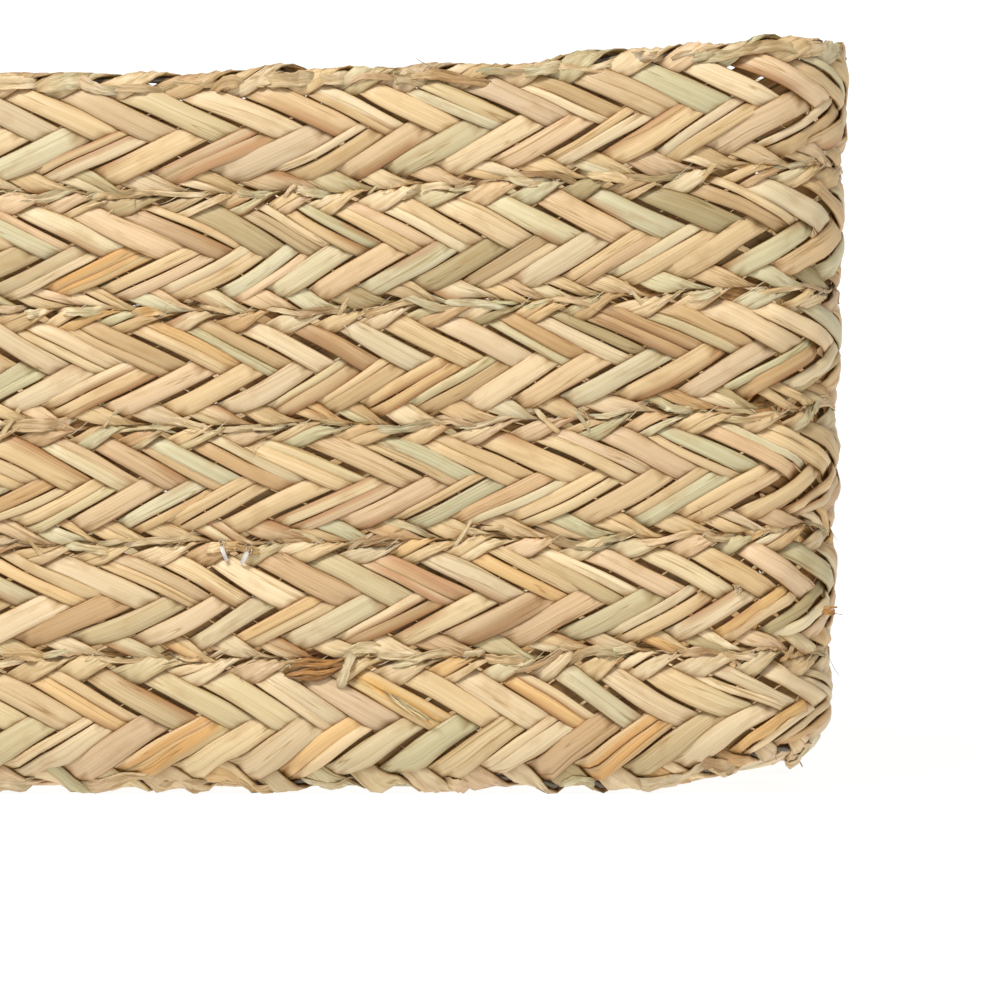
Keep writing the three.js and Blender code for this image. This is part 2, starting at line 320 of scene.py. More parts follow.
def leaf_points(rng, tau, start, place, share, beside):
    """Where a leaf's skin goes. tau counts legs from the strand's start; share and beside make
    one of two thin leaves that lie side by side in one strand. Also says how far each point is
    from the leaf's middle, how near a fold, and how well the leaves in front cover it, as a share
    of painted shade, which also darkens its side edges."""
    across, through = leaf_section()
    leg = np.floor(tau)
    p = tau - leg
    centre_u = start + LEG * tau
    centre_v = BAND_HALF_WIDTH * (1 - 2 * (leg + eased(p)))
    slope_v = 2 * BAND_HALF_WIDTH * steepness(p)
    run = np.hypot(LEG, slope_v)
    near_fold = np.exp(-((np.minimum(p, 1 - p) / FOLD_REACH) ** 2))
    room = SPACING * slope_v / run
    x, y, _, _ = plan(centre_u)
    at_corner = smooth(CORNER_FROM, CORNER_TO, cornerness(x, y))
    pinch = FOLD_PINCH * (1 + wander(rng, tau, FOLD_PINCH_DRIFT))
    width = room * FILL * (1 - pinch * near_fold) * (1 - THINNER_AT_CORNER * at_corner)
    width = width * (rng.uniform(*LEAF_WIDTHS) + wander(rng, tau, WIDTH_DRIFT))
    width = width * (1 + TIGHTER_BEHIND * smooth(-0.4, 0.4, y / HALF_DEPTH))
    half = width / 2 * share
    drift = beside * width + wander(rng, tau, SIDE_DRIFT) * (1 + CORNER_DRIFT * at_corner)
    sideways = across * half + drift
    u = centre_u + sideways * slope_v / run
    v = centre_v + sideways * LEG / run

    folds = (BAND_HALF_WIDTH - v) / (2 * BAND_HALF_WIDTH)
    q = np.floor(folds)
    since = (folds - q) * 2 * BAND_HALF_WIDTH
    until = 2 * BAND_HALF_WIDTH - since
    down = BAND_HALF_WIDTH - since
    kappa = STRANDS / 2 * (uneased(folds - q) + (u - start - LEG * q) / LEG)
    layer = LAYER * (1 + wander(rng, tau, LAYER_DRIFT)) * (1 + CORNER_LAYER * at_corner)
    front = over_under(kappa)
    arch = np.sin(math.pi * np.clip((kappa - 1.5) / 3, 0, 1)) ** 2
    arch = arch - np.sin(math.pi * np.clip((kappa - 4.5) / 3, 0, 1)) ** 2
    height = layer * front + ARCH * arch
    roll = wander(rng, tau, ROLL) * (1 + CORNER_ROLL * at_corner)
    height = height + roll * sideways
    head = smooth(0, 1, (tau[0] + SPLICE_LAP - tau) / SPLICE_LAP)
    tail = smooth(tau[-1] - SPLICE_LAP, tau[-1], tau)
    height = height + SPLICE_STEP * (tail - head) + at_corner * kinks(rng, tau, CORNER_KINK)
    keel = KEEL * rng.normal() * (1 + wander(rng, tau, 0.4))
    keel = keel * np.abs(across - rng.uniform(-0.5, 0.5))
    coarse, fine = PLEATS_ACROSS
    pleat = near_fold * PLEAT * np.sin(math.pi * (coarse * across + rng.uniform(0, 2)))
    finer = near_fold * PLEAT * np.sin(math.pi * (fine * across + rng.uniform(0, 2)))
    pleat = pleat + finer / 2
    calm = smooth(CALM_FROM, CALM_TO, np.minimum(since, until))
    height = height - (CROWN * across**2 + keel) * front * calm + pleat

    wrap = math.pi / 2 * LAYER
    start_turn = np.minimum(since, wrap) / LAYER
    end_turn = np.minimum(until, wrap) / LAYER
    starting = since < wrap
    ending = until < wrap
    edge = BAND_HALF_WIDTH - wrap
    down = np.where(starting, edge + LAYER * np.cos(start_turn), down)
    down = np.where(ending, -edge - LAYER * np.cos(end_turn), down)
    height = np.where(starting, -LAYER * np.sin(start_turn) + pleat, height)
    height = np.where(ending, LAYER * np.sin(end_turn) + pleat, height)

    face = 1 - 2 * np.mod(q, 2)
    turn = np.where(starting, start_turn, end_turn)
    skin = through * LEAF_THICKNESS / 2
    down = down - face * np.cos(turn) * skin * (starting | ending)
    height = height + face * np.where(starting | ending, np.sin(turn), 1) * skin
    ragged = 1 + near_fold * wander(rng, tau, FOLD_RAGGED)
    # painted shade: faces behind the leaves in front, and the leaf's side edges, are darkened
    lit = smooth(COVERED_BELOW, OPEN_ABOVE, face * front * through)
    lit = lit * np.interp(np.abs(through), THROUGH_LEAF, LIGHT_THERE)
    return place(u, face * down * ragged, height), sideways, near_fold, 1 - lit


# Leaf colours, from straw through pale green and pinkish beige to brown, with how common each is.
LEAF_TONES = {
    "#e6c795": 25,
    "#f2d8ac": 21,
    "#dcba86": 14,
    "#d2c79b": 10,
    "#e3d5ac": 10,
    "#edcca2": 8,
    "#c8a06c": 7,
    "#b5a274": 2,
    "#b08655": 1.5,
    "#dfb06c": 1,
}
PAINTED_SHADE_TINT = np.array([0.48, 0.34, 0.18])  # painted shade: a covered face and a leaf's side edges are darkened to a warm brown
SHADES = (-0.15, 0.04)  # from the darkest leaf to the lightest
SHADE_DRIFT = 0.05


def linear(hex_colour):
    channels = [int(hex_colour[i : i + 2], 16) / 255 for i in (1, 3, 5)]
    return [c / 12.92 if c <= 0.04045 else ((c + 0.055) / 1.055) ** 2.4 for c in channels]


TONE_COLOURS = np.array([linear(tone) for tone in LEAF_TONES])
TONE_SHARES = np.array(list(LEAF_TONES.values())) / sum(LEAF_TONES.values())


def leaf_colours(rng, tau):
    """A leaf's colour along its length: one tone that turns into another, lighter and darker."""
    picked = TONE_COLOURS[rng.choice(len(TONE_SHARES), size=3, p=TONE_SHARES)]
    stops = np.array([tau[0], rng.uniform(tau[0], tau[-1]), tau[-1]])
    colour = np.stack([np.interp(tau, stops, picked[:, c]) for c in range(3)], axis=-1)
    shade = 1 + wander(rng, tau, SHADE_DRIFT) + rng.uniform(*SHADES)
    return colour * shade[:, None]


# Stained leaves that stand out on the front: course, place along it, which half, and tone.
FRONT_MIDDLE = 3 * (CORNER_X + CORNER_ARC) + 2 * CORNER_Y
RESIN, AMBER = linear("#dca763"), linear("#e6b669")
RUST, UMBER = linear("#c79569"), linear("#ab8257")
STAINED = [
    (6, 20 * MM, "lower", RUST),
    (5, -16 * MM, "lower", RESIN),
    (4, 60 * MM, "upper", UMBER),
    (4, 150 * MM, "upper", UMBER),
    (2, 85 * MM, "upper", RUST),
    (2, 106 * MM, "lower", UMBER),
    (1, 11 * MM, "lower", RESIN),
    (1, 78 * MM, "upper", AMBER),
    (1, 147 * MM, "lower", RESIN),
]
STAIN_FULL, STAIN_GONE = 0.12, 0.3  # in legs from the middle of the stained float
BROWNED_SHARE = 0.4  # how many leaves have a margin that dried brown, here and there
BROWNED = np.array(linear("#a9713c"))


def stain(rng, colour, tau, start, stains):
    """Streaks the float of three nearest to each stained place, and browns some leaves' margins."""
    across, _ = leaf_section()
    colour = colour[None].repeat(SIDES + 1, axis=0)
    for place_u, half, tone in stains:
        for leg in range(math.floor(tau[0]), math.ceil(tau[-1])):
            if (leg % 2 == 0) != (half == "upper"):
                continue
            away = start + LEG * (leg + 1 / 3) - place_u
            away = (away + PERIMETER / 2) % PERIMETER - PERIMETER / 2
            if abs(away) <= SPACING / 2:
                streak = np.sin(2.6 * across + 5 * (tau - leg) + rng.uniform(0, 6.3))
                fade = 1 - smooth(STAIN_FULL, STAIN_GONE, np.abs(tau - leg - 1 / 3))
                share = (0.68 + 0.32 * streak) * fade
                colour = colour + share[..., None] * (np.array(tone) - colour)
    own = np.random.default_rng(abs(round(1e5 * (start + tau[0]))))
    if own.uniform() < BROWNED_SHARE:
        edge = smooth(own.uniform(-0.3, 0.3), 0.8, own.choice([-1, 1]) * across)
        share = 0.75 * edge * smooth(0.1, 0.6, wander(own, tau, 1.0))
        colour = colour + share[..., None] * (BROWNED - colour)
    return colour


def leaves_of(rng, begin, end):
    """Cuts a strand's run into leaves, each lapped on the next behind three others."""
    cuts = [begin]
    while cuts[-1] < end:
        cuts.append(math.floor(cuts[-1] + rng.integers(*LEGS_PER_LEAF)) + SPLICE_AT)
    cuts[-1] = end
    if len(cuts) > 2 and cuts[-1] - cuts[-2] < 2:
        del cuts[-2]
    return [(a, b + (SPLICE_LAP if b < end else 0)) for a, b in zip(cuts, cuts[1:])]


LEAF_RUN = 1.13  # length of leaf in each length of band
LEAF_STOCK = 40  # metres of fibres, out of which every blade gets its own stretch


def plait(rng, runs, place, stains=()):
    """Braids a band: runs gives each strand's start along it and the first and last leg."""
    blades = []
    for start, begin, end in runs:
        for first, last in leaves_of(rng, begin, end):
            steps = max(4, round((last - first) * STEPS_PER_LEG))
            tau = np.linspace(first, last, steps + 1)
            parts = [(1.0, 0.0)]
            if rng.uniform() < TWIN_SHARE:
                split = rng.uniform(*TWIN_SPLITS)
                parts = [(split + TWIN_LAP, (split - 1) / 2), (1 + TWIN_LAP - split, split / 2)]
            for share, beside in parts:
                points, sideways, near_fold, covered = leaf_points(
                    rng, tau, start, place, share, beside
                )
                # painted shade: darkens the faces that the leaves in front cover, and the leaf's
                # side edges
                shade = 1 - covered[..., None] * (1 - PAINTED_SHADE_TINT)
                colour = stain(rng, leaf_colours(rng, tau), tau, start, stains) * shade
                along = tau * LEG * LEAF_RUN + rng.uniform(0, LEAF_STOCK)
                blades.append((points, along, sideways, colour, near_fold))
    return blades


def closed_up(name, bm, targets):
    """Makes a piece of a bent grid: welds its edges together and caps what is left open."""
    bmesh.ops.weld_verts(bm, targetmap=targets)
    bmesh.ops.holes_fill(bm, edges=[e for e in bm.edges if e.is_boundary], sides=0)
    bmesh.ops.recalc_face_normals(bm, faces=bm.faces)
    mesh = bpy.data.meshes.new(name)
    bm.to_mesh(mesh)
    bm.free()
    mesh.shade_smooth()
    piece = bpy.data.objects.new(name, mesh)
    bpy.context.scene.collection.objects.link(piece)
    return piece


BLADES_APART = 0.37  # metres between one blade's fibres and the next one's, across the leaf


def sew(name, blades):
    """One piece out of many blades: each is a closed flat tube with its place, colour, and the
    masks of its side edges and folds that the material darkens with painted shade.
    """
    bm = bmesh.new()
    colours, marks, uvs, welds = [], [], [], []
    for number, (points, along, sideways, colour, near_fold) in enumerate(blades):
        count = points.shape[1]
        made = bmesh.ops.create_grid(bm, x_segments=count - 1, y_segments=SIDES, size=1)
        for vert, point in zip(made["verts"], points.reshape(-1, 3)):
            vert.co = point
        welds.append(np.array(made["verts"], dtype=object).reshape(SIDES + 1, count))
        along = along[None, :].repeat(SIDES, axis=0)
        across = sideways[:SIDES] + BLADES_APART * number
        uvs.append(np.stack([along, across], axis=-1).reshape(-1, 2))
        colours.append(colour[:SIDES].reshape(-1, 3))
        # masks for the material: side edges (painted shade) and folds (painted shade and wrinkles)
        rim = np.abs(leaf_section()[0][:SIDES]).repeat(count, axis=1)
        fold = near_fold[None, :].repeat(SIDES, axis=0)
        marks.append(np.stack([rim, fold, np.zeros_like(fold)], axis=-1).reshape(-1, 3))
    targets = {old: new for rows in welds for old, new in zip(rows[SIDES], rows[0])}
    piece = closed_up(name, bm, targets)
    mesh = piece.data
    paint(mesh, "leaf_colour", np.concatenate(colours))
    paint(mesh, "leaf_marks", np.concatenate(marks))
    corner_vertex = np.zeros(len(mesh.loops), dtype=np.int32)
    mesh.loops.foreach_get("vertex_index", corner_vertex)
    layer = mesh.uv_layers.new(name="leaf_uv")
    layer.data.foreach_set("uv", np.concatenate(uvs)[corner_vertex].astype(np.float32).ravel())
    return piece


def paint(mesh, name, values):
    """Puts a colour on every vertex, as an attribute that the leaf's material reads."""
    attribute = mesh.color_attributes.new(name=name, type="FLOAT_COLOR", domain="POINT")
    rgba = np.ones((len(values), 4), dtype=np.float32)
    rgba[:, :3] = values
    attribute.data.foreach_set("color", rgba.ravel())


def add_node(tree, kind, links=(), **settings):
    """Adds a node. Settings are sockets by name or number, or the node's own properties; links
    are (socket here, node there, its output)."""
    node = tree.nodes.new(kind)
    inputs = settings.pop("inputs", {})
    for key, value in settings.items():
        setattr(node, key, value)
    for socket, value in inputs.items():
        node.inputs[socket].default_value = value
    for socket, source, output in links:
        tree.links.new(source.outputs[output], node.inputs[socket])
    return node


# A Mix node's sockets for numbers and for colours share their names, so they go by place.
FLOAT_A, FLOAT_B, FLOAT_RESULT = 2, 3, 0
COLOUR_A, COLOUR_B, COLOUR_RESULT = 6, 7, 2


# Dried seagrass leaf: a flat satin blade with fine lengthwise fibres, a few dark veins, and
# creases where it was folded. Fibres are about 0.3 mm apart and veins 2.6 mm, and the creases at
# the folds 0.8 mm. The blade's side edges and the creases at the folds are darkened with painted
# shade, and all the darkening turns browner as it deepens.
def dried_seagrass():
    material = bpy.data.materials.new("dried_seagrass_leaf")
    material.use_nodes = True
    tree = material.node_tree
    shader = tree.nodes["Principled BSDF"]
    uv = add_node(tree, "ShaderNodeUVMap", uv_map="leaf_uv")
    colour = add_node(tree, "ShaderNodeVertexColor", layer_name="leaf_colour")
    marks = add_node(tree, "ShaderNodeVertexColor", layer_name="leaf_marks")
    mark = add_node(tree, "ShaderNodeSeparateColor", [("Color", marks, "Color")])

    def fibres(across_mm, along_mm, detail, rough=0.5):
        scale = (1 / (along_mm * MM), 1 / (across_mm * MM), 1)
        mapped = add_node(
            tree, "ShaderNodeMapping", [("Vector", uv, "UV")], inputs={"Scale": scale}
        )
        return add_node(
            tree,
            "ShaderNodeTexNoise",
            [("Vector", mapped, "Vector")],
            noise_dimensions="2D",
            inputs={"Scale": 1.0, "Detail": detail, "Roughness": rough},
        )

    def ranged(source, output, low, high, to_low, to_high):
        return add_node(
            tree,
            "ShaderNodeMapRange",
            [("Value", source, output)],
            inputs={"From Min": low, "From Max": high, "To Min": to_low, "To Max": to_high},
        )

    def times(a, b):
        return add_node(
            tree, "ShaderNodeMath", [(0, a[0], a[1]), (1, b[0], b[1])], operation="MULTIPLY"
        )

    fine = fibres(0.3, 26, 2)
    broad = fibres(1.3, 45, 2)
    blotch = fibres(4, 11, 3)
    vein = fibres(2.6, 120, 1)
    crease = fibres(0.8, 5, 2)

    streak = ranged(fine, "Fac", 0.3, 0.7, 0.945, 1.05)
    band = ranged(broad, "Fac", 0.3, 0.7, 0.94, 1.05)
    off_line = add_node(
        tree, "ShaderNodeMath", [(0, vein, "Fac")], operation="SUBTRACT", inputs={1: 0.5}
    )
    distance = add_node(tree, "ShaderNodeMath", [(0, off_line, 0)], operation="ABSOLUTE")
    line = ranged(distance, 0, 0.0, 0.012, 0.66, 1.0)
    # painted shade: the leaf's side edges are darkened
    rim = ranged(mark, "Red", 0.9, 1.0, 1.0, 0.62)
    worn = times((streak, 0), (band, 0))
    veined = times((worn, 0), (line, 0))
    edge_shaded = times((veined, 0), (rim, 0))
    # painted shade: the creases at the folds are darkened, in a noise pattern
    crease_shaded = ranged(crease, "Fac", 0.35, 0.6, 0.72, 1.06)
    folded = add_node(
        tree,
        "ShaderNodeMix",
        [("Factor", mark, "Green"), (FLOAT_B, crease_shaded, 0)],
        data_type="FLOAT",
        inputs={FLOAT_A: 1.0},
    )
    depth = times((edge_shaded, 0), (folded, FLOAT_RESULT))
    toned = add_node(
        tree,
        "ShaderNodeMix",
        [(COLOUR_A, colour, "Color"), ("Factor", ranged(blotch, "Fac", 0.55, 0.8, 0.0, 0.4), 0)],
        data_type="RGBA",
        inputs={COLOUR_B: (*linear("#b5864f"), 1)},
    )
    # all the darkening, of grain, veins and painted shade alike, turns browner as it deepens
    warmer = add_node(
        tree, "ShaderNodeMath", [(0, depth, 0)], operation="POWER", inputs={1: 1.3}
    )
    warmest = add_node(
        tree, "ShaderNodeMath", [(0, depth, 0)], operation="POWER", inputs={1: 1.9}
    )
    warm_shade = add_node(
        tree,
        "ShaderNodeCombineColor",
        [("Red", depth, 0), ("Green", warmer, 0), ("Blue", warmest, 0)],
    )
    tint = add_node(
        tree,
        "ShaderNodeVectorMath",
        [(0, toned, COLOUR_RESULT), (1, warm_shade, "Color")],
        operation="MULTIPLY",
    )
    tree.links.new(tint.outputs["Vector"], shader.inputs["Base Color"])
    shine = ranged(broad, "Fac", 0.3, 0.7, 0.42, 0.62)
    tree.links.new(shine.outputs[0], shader.inputs["Roughness"])
    ribbed = add_node(
        tree,
        "ShaderNodeBump",
        [("Height", fine, "Fac")],
        inputs={"Strength": 0.4, "Distance": 0.12 * MM},
    )
    grooved = add_node(
        tree,
        "ShaderNodeBump",
        [("Height", line, 0), ("Normal", ribbed, "Normal")],
        inputs={"Strength": 0.7, "Distance": 0.2 * MM},
    )
    wrinkle = times((crease, "Fac"), (mark, "Green"))
    bumped = add_node(
        tree,
        "ShaderNodeBump",
        [("Height", wrinkle, 0), ("Normal", grooved, "Normal")],
        inputs={"Strength": 1.0, "Distance": 0.7 * MM},
    )
    tree.links.new(bumped.outputs["Normal"], shader.inputs["Normal"])
    shader.inputs["Specular IOR Level"].default_value = 0.42
    return material


SEAGRASS = dried_seagrass()

for course in range(1, COURSES + 1):
    seed = 100 + course
    phase = np.random.default_rng(seed).uniform(0, SPACING)
    legs_round = round(PERIMETER / LEG)
    openings = np.random.default_rng(seed + 50).integers(0, legs_round, size=STRANDS)
    strand_runs = []
    for strand, opening in enumerate(openings):
        begin = float(opening) + SPLICE_AT
        end = begin + legs_round + SPLICE_LAP
        strand_runs.append((phase + strand * SPACING, begin, end))
    rng = np.random.default_rng(seed + 20)
    stains = [(FRONT_MIDDLE + x, half, tone) for on, x, half, tone in STAINED if on == course]
    blades = plait(rng, strand_runs, wall_place(course), stains)
    braid = sew(f"braid_course_{course}", blades)
    braid.data.materials.append(SEAGRASS)
    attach(braid, "root")
    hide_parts(f"wall_course_{course}")

# ---------------------------------------------------------------------------------------------
# Base strips. Nine lengths of the same braid lie flat, side by side along the basket, and their
# ends are trimmed to the round-cornered outline and tucked against the foot of the wall.
# ---------------------------------------------------------------------------------------------
BASE_STRIPS = 9
strip_low, strip_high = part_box("base_strip_1")
base_half_length = strip_high.x
base_half_depth = -strip_low.y
strip_pitch = 2 * base_half_depth / BASE_STRIPS
base_corner = CORNER_RADIUS - (HALF_LENGTH - base_half_length)
flat_corner = CORNER_RADIUS + FOOT_START
BASE_CLEARANCE = 1.2 * MM  # the base hangs in the foot's folds, just clear of the floor
BASE_LIES_AT = LAYER + LEAF_THICKNESS / 2 + ARCH + BASE_CLEARANCE


def dished(x, y):
    """How much the base rises at a point, past its flat, to meet the foot's round."""
    past_x = np.maximum(0, np.abs(x) - CORNER_X)
    past_y = np.maximum(0, np.abs(y) - CORNER_Y)
    out = np.clip(np.hypot(past_x, past_y) - flat_corner, 0, FOOT_RADIUS)
    return FOOT_RADIUS - np.sqrt(FOOT_RADIUS**2 - out**2)


def strip_place(strip):
    """The map from a straight band to its strip of the base, shortened at the round corners."""
    middle = -base_half_depth + (strip - 0.5) * strip_pitch
    narrowing = strip_pitch / COURSE_PITCH

    def place(u, v, out):
        y = middle + v * narrowing
        past = np.clip(np.abs(y) - (base_half_depth - base_corner), 0, base_corner)
        lost = base_corner - np.sqrt(base_corner**2 - past**2)
        x = u * (base_half_length - lost) / base_half_length
        return np.stack([x, y, settled(x, y, BASE_LIES_AT + out + dished(x, y))], axis=-1)

    return place


for strip in range(1, BASE_STRIPS + 1):
    seed = 200 + strip
    phase = np.random.default_rng(seed).uniform(0, SPACING)
    strand_runs = []
    for strand in range(STRANDS):
        start = phase + strand * SPACING
        begin = (-base_half_length - start) / LEG
        strand_runs.append((start, begin, begin + 2 * base_half_length / LEG))
    rng = np.random.default_rng(seed + 20)
    braid = sew(f"base_braid_{strip}", plait(rng, strand_runs, strip_place(strip)))
    braid.data.materials.append(SEAGRASS)
    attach(braid, "root")
    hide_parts(f"base_strip_{strip}")

# ---------------------------------------------------------------------------------------------
# Seam wisps. Where two courses are laced, leaves too thin to hold their shape are crushed flat
# and run nearly level along the seam, and a few short ends are tied across it. Such leaves also
# fill out the folds of the rim and the foot.
# ---------------------------------------------------------------------------------------------
WISP_THICKNESS = 0.5 * MM
WISP_SUNK = 0.7 * MM  # a wisp's ends go this far into the braid
WISP_REACH = 0.22  # over this share of its length
# a wisp's share of fold: painted crease shade and wrinkles along its whole length
WISP_CREASED = 0.75
TUCK = 0.55  # width, and brightness under painted shade, that are left where an end tucks in


def wisp(rng, place, middle, reach, half, thickness, tone=None):
    """A loose blade along a line in a band. middle gives its line as u, v and out, and reach the
    share of its length over which each end tucks in, narrowing and darkening with painted shade."""
    across, through = leaf_section()
    u, v, out = middle
    t = np.linspace(0, 1, len(u))
    step_u, step_v = np.gradient(u), np.gradient(v)
    run = np.hypot(step_u, step_v)
    shown = smooth(0, reach, t) * smooth(0, reach, 1 - t)
    twist = wander(rng, 2 * t, 0.5)
    tucked = TUCK + (1 - TUCK) * shown
    width = half * tucked * (1 + wander(rng, 4 * t, 0.16))
    crumple = 0.22 * half * np.sin(math.pi * (2.4 * across + rng.uniform(0, 2)))
    skin = through * thickness / 2
    level = across * width * np.cos(twist) - skin * np.sin(twist)
    rise = across * width * np.sin(twist) + skin * np.cos(twist) + crumple * shown
    points = place(u - level * step_v / run, v + level * step_u / run, out + rise)
    colour = leaf_colours(rng, 3 * t) if tone is None else np.array(tone)
    # painted shade: the ends are darkened where they tuck into the braid
    colour = np.broadcast_to(colour, (len(t), 3))[None] * tucked[None, :, None]
    colour = (colour * rng.uniform(0.8, 1.02)).repeat(SIDES + 1, axis=0)
    along = np.cumsum(run) + rng.uniform(0, LEAF_STOCK)
    return points, along, across * width, colour, WISP_CREASED * np.ones_like(t)


def seam_wisps(rng, course, edge, apart, ties, within):
    """Wisps along one edge of a course, +1 the upper and -1 the lower: how far apart, the share
    of ties over it, and how far they keep within it."""
    place = wall_place(course)
    blades = []
    u = 0.0
    while u < PERIMETER:
        u += rng.uniform(0.4, 1.6) * apart
        tie = rng.uniform() < ties
        length = rng.uniform(6, 9) * MM if tie else rng.uniform(9, 26) * MM
        slant = rng.choice([-1, 1]) * (rng.uniform(0.8, 1.4) if tie else rng.uniform(0.02, 0.24))
        t = np.linspace(-0.5, 0.5, 15)
        v = slant * length * t + rng.normal(0, 0.9 * MM)
        v = v + rng.normal(0, 1.2 * MM) * (4 * t**2 - 0.5)
        if within:
            v = np.maximum(v, 0)
        v = edge * (COURSE_PITCH / 2 - v - within)
        proud = LAYER + rng.uniform(0.1, 0.75) * MM
        shown = np.clip(1.25 * np.cos(math.pi * t), 0, 1) ** 0.7
        out = (proud + WISP_SUNK) * shown - WISP_SUNK
        half = rng.uniform(0.5, 0.9) * MM if tie else rng.uniform(0.5, 1.6) * MM
        line = (u + length * t, v, out)
        blades.append(wisp(rng, place, line, WISP_REACH, half, WISP_THICKNESS))
    return blades


WISPS_APART, FOOT_WISPS_APART, RIM_WISPS_APART = 14 * MM, 24 * MM, 9 * MM
TIES = 0.18  # the share of a seam's wisps that are ties
WITHIN_FOLDS = 2.2 * MM  # the foot's and the rim's keep this far in from the fold line

wisp_rows = [
    (f"seam_wisps_{course}", 400 + course, course, 1, WISPS_APART, TIES, 0)
    for course in range(1, COURSES)
]
wisp_rows.append(("foot_wisps", 411, 1, -1, FOOT_WISPS_APART, 0, WITHIN_FOLDS))
wisp_rows.append(("rim_wisps", 410 + COURSES, COURSES, 1, RIM_WISPS_APART, 0, WITHIN_FOLDS))
for name, seed, *row in wisp_rows:
    wisps = sew(name, seam_wisps(np.random.default_rng(seed), *row))
    wisps.data.materials.append(SEAGRASS)
    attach(wisps, "root")

# ---------------------------------------------------------------------------------------------
# Torn leaf. One amber leaf in the lowest course was crushed to orange strings where it leaves
# the seam, goes under a pale tie, and has split further on, with fine shreds standing off it.
# ---------------------------------------------------------------------------------------------
STRINGS, SHREDS = 8, 9
STRING_TONE = np.array(linear("#cf944f"))
TIE_TONE, SHRED_TONE = linear("#ecd6ad"), linear("#edd9a8")

rng = np.random.default_rng(450)
place = wall_place(1)
t = np.linspace(0, 1, 19)
blades = []
for string in range(STRINGS):
    u = FRONT_MIDDLE + (40 + 20 * t) * MM + rng.uniform(-2, 1) * MM
    gather = 0.3 + 0.75 * np.sin(math.pi * t) ** 0.7
    v = (12.2 + 3.2 * t + 0.62 * (string - 3.5) * gather) * MM
    v = v + 0.4 * MM * np.sin(7 * t + rng.uniform(0, 6))
    out = LAYER + (rng.uniform(0.9, 1.7) * np.sin(math.pi * t) ** 0.5 - 0.5) * MM
    tone = STRING_TONE * rng.uniform(0.45, 1.1)
    blades.append(wisp(rng, place, (u, v, out), 0.3, 0.55 * MM, 0.35 * MM, tone))
u, v = FRONT_MIDDLE + (61.5 - 4 * t) * MM, (17.6 - 9 * t) * MM
out = LAYER + 1.9 * MM * np.sin(math.pi * t) ** 0.6
blades.append(wisp(rng, place, (u, v, out), 0.15, 1.5 * MM, 0.6 * MM, TIE_TONE))
for _ in range(SHREDS):
    begin = rng.uniform(68, 74)
    u = FRONT_MIDDLE + (begin + rng.uniform(8, 13) * t) * MM
    v = (8.6 - 0.5 * (begin - 68) - rng.uniform(4.5, 7.5) * t + rng.uniform(-1, 1)) * MM
    out = LAYER + 1.1 * MM + rng.uniform(0.1, 1.2) * MM * t
    blades.append(wisp(rng, place, (u, v, out), 0.4, 0.16 * MM, 0.15 * MM, SHRED_TONE))
torn = sew("torn_leaf", blades)
torn.data.materials.append(SEAGRASS)
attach(torn, "root")

# ---------------------------------------------------------------------------------------------
# Loose fibres. Torn ends of leaf stick out of the folds all round, mostly hair-thin. At the front
# right corner one leaf of the second course has snapped, and its amber ends stand straight out.
# ---------------------------------------------------------------------------------------------
LOOSE_FIBRES = 150
SNAPPED_ENDS = 7
SNAPPED_AT = FRONT_MIDDLE + CORNER_X + 0.62 * CORNER_ARC
SNAPPED_TONE = linear("#d9a05e")

rng = np.random.default_rng(500)
blades = []
for _ in range(LOOSE_FIBRES):
    course = int(rng.integers(1, COURSES + 1))
    length = rng.uniform(2.5, 7) * MM
    t = np.linspace(0, 1, 9)
    heading = rng.uniform(0, 2 * math.pi)
    bend = rng.uniform(-1.2, 1.2)
    u = rng.uniform(0, PERIMETER) + length * t * np.cos(heading + bend * t)
    v = rng.choice([-1, 1]) * rng.uniform(0.8, 0.98) * COURSE_PITCH / 2
    v = v + length * t * np.sin(heading + bend * t)
    out = LAYER + rng.uniform(0.15, 0.55) * length * t ** rng.uniform(0.8, 1.6)
    half = rng.uniform(0.07, 0.16) * MM
    blades.append(wisp(rng, wall_place(course), (u, v, out), 0.5, half, 0.1 * MM))
for snapped in range(SNAPPED_ENDS):
    t = np.linspace(0, 1, 9)
    length = (rng.uniform(2.5, 4) if snapped else 6.5) * MM
    u = SNAPPED_AT + (1.5 + 0.3 * snapped) * MM * t
    v = (-5.5 + 0.5 * rng.normal() + rng.uniform(-1.5, 1.5) * t) * MM
    out = LAYER + length * t
    half = (0.4 if snapped else 0.08) * MM
    blades.append(wisp(rng, wall_place(2), (u, v, out), 0.3, half, 0.25 * MM, SNAPPED_TONE))
fuzz = sew("loose_fibres", blades)
fuzz.data.materials.append(SEAGRASS)
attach(fuzz, "root")

# ---------------------------------------------------------------------------------------------
# Lacing threads. A clear nylon monofilament, drawn smooth, whips each pair of folded edges
# together, round and round along the seam, on the wall and on the base. It is knotted in places,
# and two ends on the front were melted flat so that they can't slip back.
# ---------------------------------------------------------------------------------------------
THREAD_RADIUS = 0.13 * MM
THREAD_SIDES = 6
STITCH = 21 * MM
STITCH_REACH = 2.3 * MM  # a stitch goes this far in from the fold lines on either side
STITCH_DEPTH = LAYER + 0.62 * MM
STEPS_PER_STITCH = 20


def tube(name, points, closed):
    """A round tube from rings of points: the first axis goes round it, the second along it."""
    bm = bmesh.new()
    sides, count = points.shape[:2]
    made = bmesh.ops.create_grid(bm, x_segments=count - 1, y_segments=sides, size=1)
    rows = np.array(made["verts"], dtype=object).reshape(sides + 1, count)
    for vert, point in zip(made["verts"], np.concatenate([points, points[:1]]).reshape(-1, 3)):
        vert.co = point
    targets = dict(zip(rows[sides], rows[0]))
    if closed:
        targets.update(zip(rows[:sides, -1], rows[:sides, 0]))
        targets[rows[sides, -1]] = rows[0, 0]
        targets[rows[sides, 0]] = rows[0, 0]
    return closed_up(name, bm, targets)


